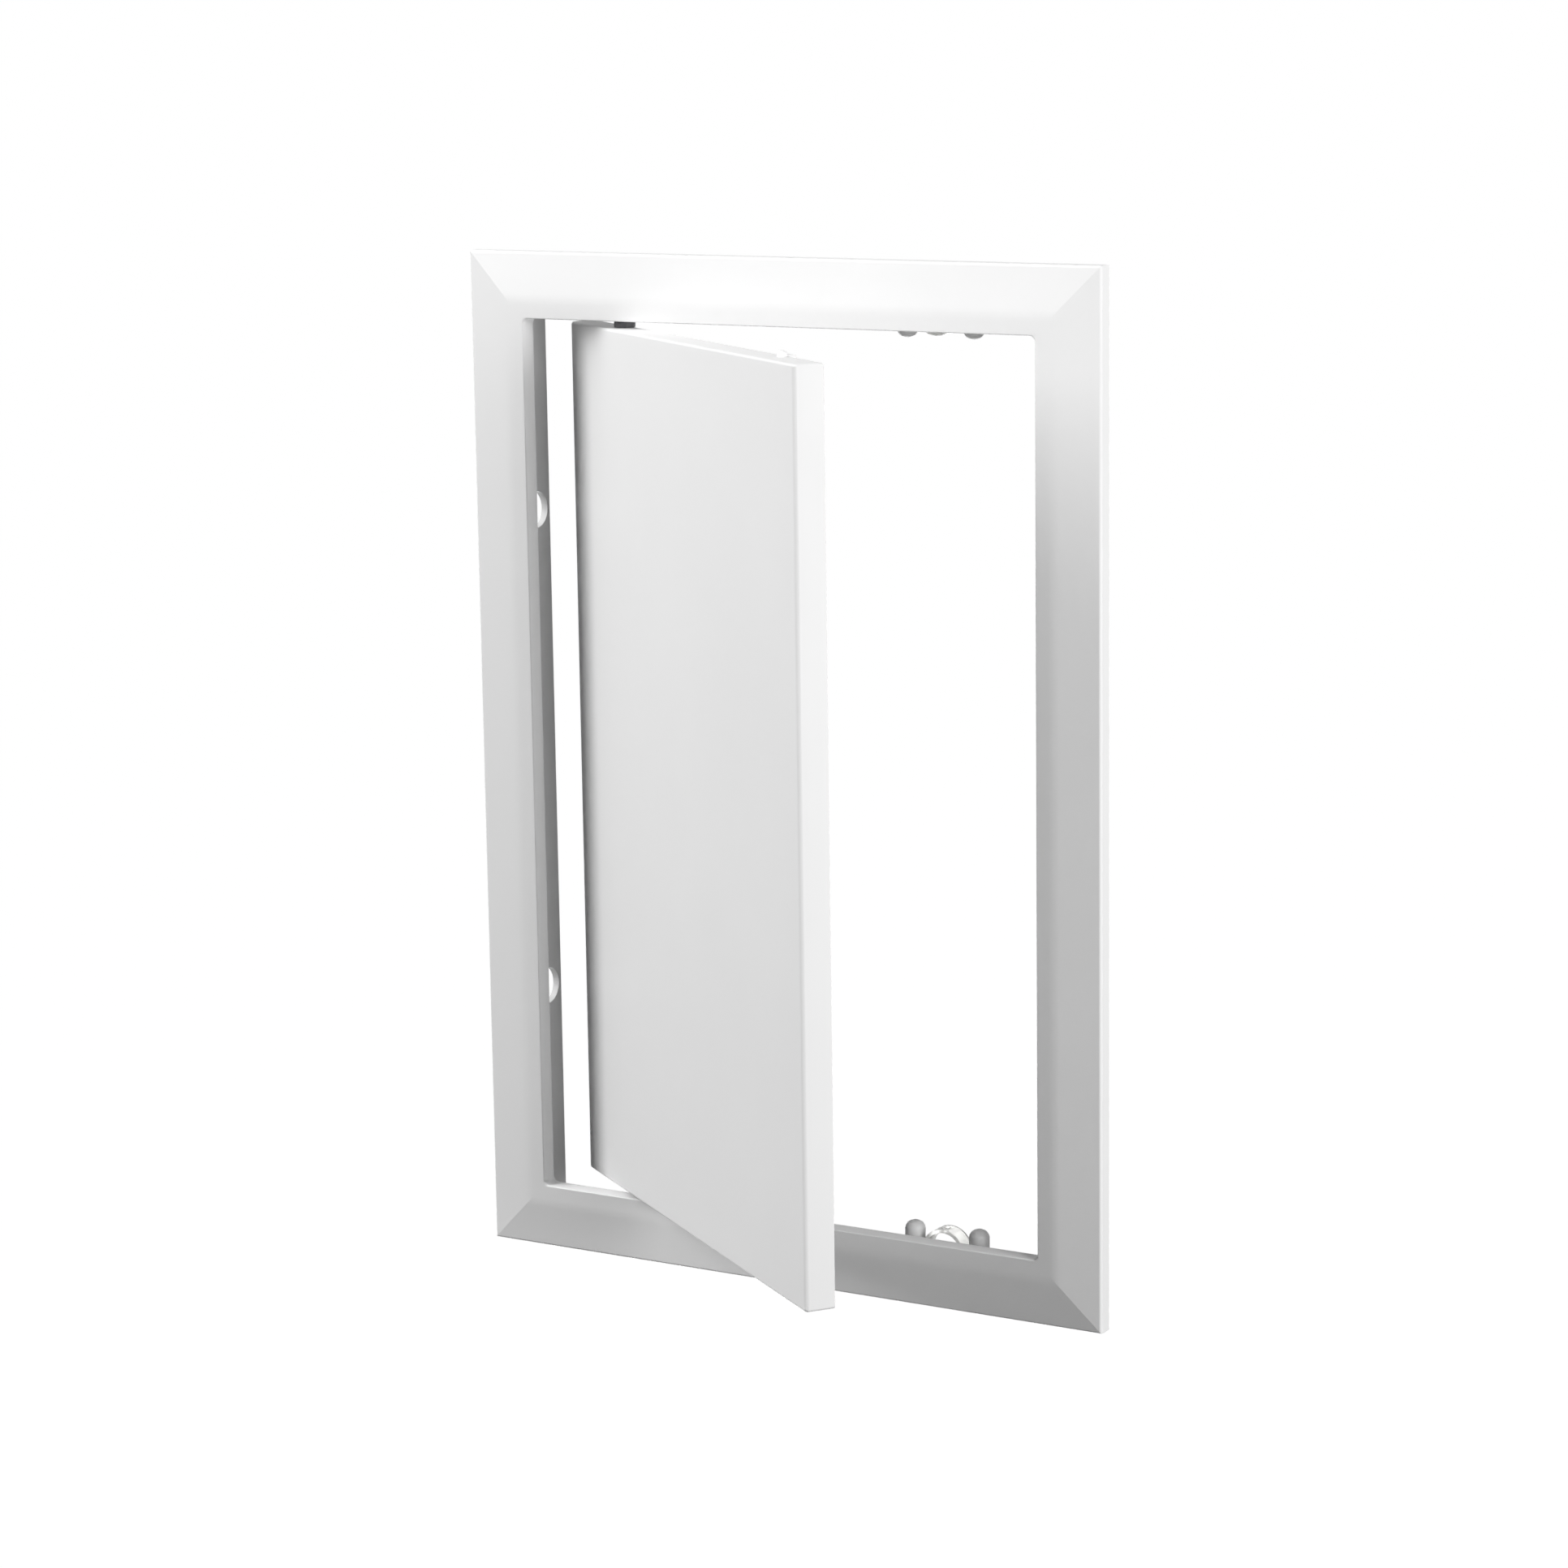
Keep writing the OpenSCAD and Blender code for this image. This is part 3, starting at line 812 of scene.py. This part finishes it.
def makeLamp(name, lamp):
    data = bpy.data.lights.new(name, "AREA")
    data.size = lamp["size"] * mm
    data.energy = lamp["watts"]
    holder = bpy.data.objects.new(name, data)
    bpy.context.scene.collection.objects.link(holder)
    holder.location = Vector(lamp["place"]) * mm
    toward = Vector(lamp["aim"]) - Vector(lamp["place"])
    holder.rotation_euler = toward.to_track_quat("-Z", "Y").to_euler()
    holder.visible_camera = False  # so it never stands in a view


def seenDirectly(material):
    # 1 for what the camera sees, also in gloss or through clear plastic, and 0 for light on the object
    path = addNode(material, "ShaderNodeLightPath").outputs
    straight = addNode(material, "ShaderNodeMath", {"operation": "MAXIMUM"},
                       {0: path["Is Camera Ray"], 1: path["Is Glossy Ray"]})
    through = addNode(material, "ShaderNodeMath", {"operation": "MAXIMUM"},
                      {0: straight.outputs[0], 1: path["Is Transmission Ray"]})
    return through.outputs[0]


def makeWorld(look):
    world = bpy.data.worlds.new("studio")
    bpy.context.scene.world = world
    world.use_nodes = True
    world.node_tree.nodes.clear()
    glow = addNode(world, "ShaderNodeBackground", {"Color": look["white"]}, {"Strength": seenDirectly(world)})
    addNode(world, "ShaderNodeOutputWorld", links={"Surface": glow.outputs["Background"]})


def makeFloor(look):
    clearSelection()
    level = cadBox[0].z - look["floorDrop"]
    bpy.ops.mesh.primitive_plane_add(size=look["floorSize"], location=(0, 0, level))
    floor = bpy.context.object
    floor.name = "floor"
    paper = emptyMaterial("paleFloor")
    matt = addNode(paper, "ShaderNodeBsdfDiffuse", {"Color": linear(look["floorHex"])})
    glow = addNode(paper, "ShaderNodeEmission", {"Color": look["white"]}, {"Strength": seenDirectly(paper)})
    both = addNode(paper, "ShaderNodeAddShader", links={0: matt.outputs[0], 1: glow.outputs[0]})
    addNode(paper, "ShaderNodeOutputMaterial", links={"Surface": both.outputs[0]})
    floor.data.materials.append(paper)


for lampName, lamp in lamps.items():
    makeLamp(lampName, lamp)
makeWorld(surround)
makeFloor(surround)
bpy.context.scene.view_settings.view_transform = "Standard"
print("studio lit")

bpy.context.view_layer.update()
